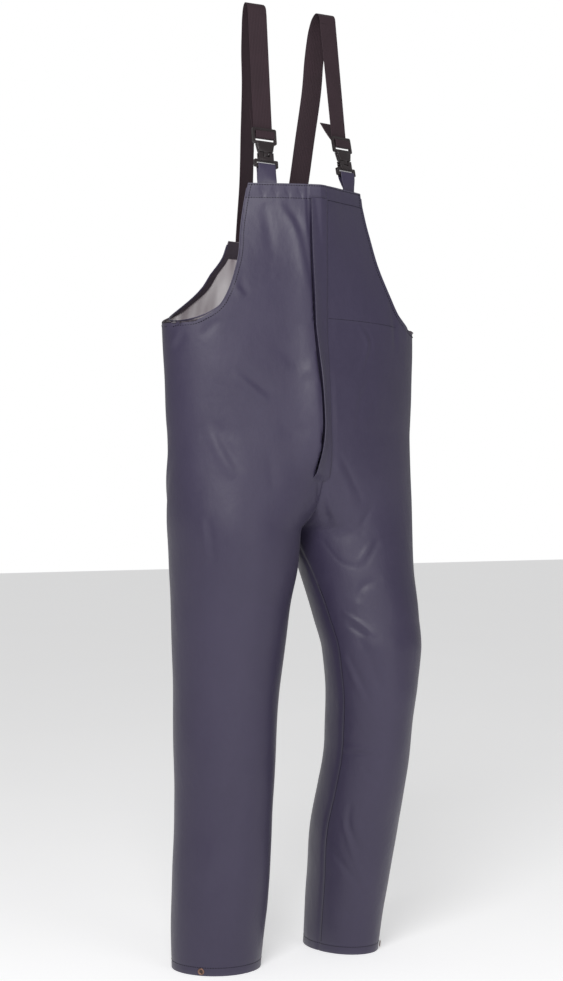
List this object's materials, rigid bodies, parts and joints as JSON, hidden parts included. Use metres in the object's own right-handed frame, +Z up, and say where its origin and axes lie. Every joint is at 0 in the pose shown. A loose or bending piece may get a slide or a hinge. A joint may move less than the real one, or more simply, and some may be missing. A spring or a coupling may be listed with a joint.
{
  "type": "bib and brace overall",
  "caption": "Waterproof coated work overall with a high bib, a front flap, elastic braces on ladder-lock side-release buckles, and press studs at the hems.",
  "frame": {"origin": "on the floor plane of the hems, midway between the side limits and between the front and back limits of the garment", "axes": "+Z up along the height, -Y to the wearer's front, -X to the wearer's right"},
  "size_m": [0.508, 0.2932, 1.692],
  "materials": {
    "coated_cloth": "satin polyurethane coating on knit",
    "coated_cloth_dark": "satin, shaded inner layers",
    "elastic_webbing": "ribbed matt elastic",
    "black_plastic": "moulded gloss",
    "stud_metal": "aged copper"
  },
  "bodies": {
    "garment": {"right_lower_leg_panel": "coated_cloth", "right_upper_leg_panel": "coated_cloth", "right_trunk_panel": "coated_cloth", "right_bib_panel": "coated_cloth", "right_back_panel": "coated_cloth", "right_hem_facing": "coated_cloth_dark", "right_inseam_tape": "coated_cloth_dark", "right_armhole_front_facing": "coated_cloth_dark", "right_armhole_back_facing": "coated_cloth_dark", "right_hem_stud_socket": "stud_metal", "right_hem_stud_post": "stud_metal", "right_buckle_tab": "coated_cloth_dark", "right_buckle_socket": "black_plastic", "right_brace_front": "elastic_webbing", "right_brace_rear": "elastic_webbing", "left_lower_leg_panel": "coated_cloth", "left_upper_leg_panel": "coated_cloth", "left_trunk_panel": "coated_cloth", "left_bib_panel": "coated_cloth", "left_back_panel": "coated_cloth", "left_hem_facing": "coated_cloth_dark", "left_inseam_tape": "coated_cloth_dark", "left_armhole_front_facing": "coated_cloth_dark", "left_armhole_back_facing": "coated_cloth_dark", "left_hem_stud_socket": "stud_metal", "left_hem_stud_post": "stud_metal", "left_buckle_tab": "coated_cloth_dark", "left_buckle_socket": "black_plastic", "left_brace_front": "elastic_webbing", "left_brace_rear": "elastic_webbing", "bib_top_facing": "coated_cloth_dark", "back_top_facing": "coated_cloth_dark", "centre_front_tape": "coated_cloth_dark", "centre_back_tape": "coated_cloth_dark", "inner_pocket": "coated_cloth_dark", "bib_storm_flap": "coated_cloth"},
    "right_buckle_half": {"right_ladder_lock": "black_plastic", "right_brace_loop": "elastic_webbing"},
    "right_outer_latch": {"right_outer_latch": "black_plastic"},
    "right_inner_latch": {"right_inner_latch": "black_plastic"},
    "right_tail": {"right_tail_root": "elastic_webbing"},
    "right_tail_end": {"right_tail_end": "elastic_webbing"},
    "left_buckle_half": {"left_ladder_lock": "black_plastic", "left_brace_loop": "elastic_webbing"},
    "left_outer_latch": {"left_outer_latch": "black_plastic"},
    "left_inner_latch": {"left_inner_latch": "black_plastic"},
    "left_tail": {"left_tail_root": "elastic_webbing"},
    "left_tail_end": {"left_tail_end": "elastic_webbing"},
    "fly_flap": {"fly_flap": "coated_cloth"}
  },
  "joints": [
    {"name": "right_buckle_release", "type": "slide", "parent": "garment", "child": "right_buckle_half", "axis": [0.05, 0.1939, 0.9797], "range_m": [0, 0.035], "deforming": ["right_brace_front"]},
    {"name": "right_outer_latch_press", "type": "hinge", "parent": "right_buckle_half", "child": "right_outer_latch", "pos_m": [-0.09435, -0.02626, 1.43408], "axis": [-0.0611, -0.9785, 0.1968], "range_deg": [0, 6], "stiffness_Nm_per_rad": 0.05},
    {"name": "right_inner_latch_press", "type": "hinge", "parent": "right_buckle_half", "child": "right_inner_latch", "pos_m": [-0.06843, -0.02807, 1.43312], "axis": [0.0611, 0.9785, -0.1968], "range_deg": [0, 6], "stiffness_Nm_per_rad": 0.05},
    {"name": "right_tail_swing", "type": "hinge", "parent": "right_buckle_half", "child": "right_tail", "pos_m": [-0.07962, -0.01555, 1.45938], "axis": [-0.9969, 0.0697, 0.0371], "range_deg": [-6, 14], "stiffness_Nm_per_rad": 0.02},
    {"name": "right_tail_feed", "type": "slide", "parent": "right_tail", "child": "right_tail_end", "axis": [0.0598, 0.3609, 0.9307], "range_m": [0, 0.035]},
    {"name": "left_buckle_release", "type": "slide", "parent": "garment", "child": "left_buckle_half", "axis": [-0.05, 0.1939, 0.9797], "range_m": [0, 0.035], "deforming": ["left_brace_front"]},
    {"name": "left_outer_latch_press", "type": "hinge", "parent": "left_buckle_half", "child": "left_outer_latch", "pos_m": [0.09406, -0.02424, 1.43367], "axis": [-0.2194, 0.9549, -0.2002], "range_deg": [0, 6], "stiffness_Nm_per_rad": 0.05},
    {"name": "left_inner_latch_press", "type": "hinge", "parent": "left_buckle_half", "child": "left_inner_latch", "pos_m": [0.06873, -0.03009, 1.43354], "axis": [0.2194, -0.9549, 0.2002], "range_deg": [0, 6], "stiffness_Nm_per_rad": 0.05},
    {"name": "left_tail_swing", "type": "hinge", "parent": "left_buckle_half", "child": "left_tail", "pos_m": [0.07861, -0.0157, 1.45936], "axis": [-0.9744, -0.2249, -0.0052], "range_deg": [-22, 0], "stiffness_Nm_per_rad": 0.02},
    {"name": "left_tail_feed", "type": "slide", "parent": "left_tail", "child": "left_tail_end", "axis": [-0.1441, 0.6063, 0.7821], "range_m": [0, 0.035]},
    {"name": "fly_flap_open", "type": "hinge", "parent": "garment", "child": "fly_flap", "pos_m": [0.00841, -0.09282, 0.998], "axis": [0.0033, 0.0442, 0.999], "range_deg": [-10, 50]}
  ],
  "couplings": [
    {"joint": "right_inner_latch_press", "follows": "right_outer_latch_press", "ratio": 1},
    {"joint": "right_tail_feed", "follows": "right_buckle_release", "ratio": 1},
    {"joint": "left_inner_latch_press", "follows": "left_outer_latch_press", "ratio": 1},
    {"joint": "left_tail_feed", "follows": "left_buckle_release", "ratio": 1}
  ]
}
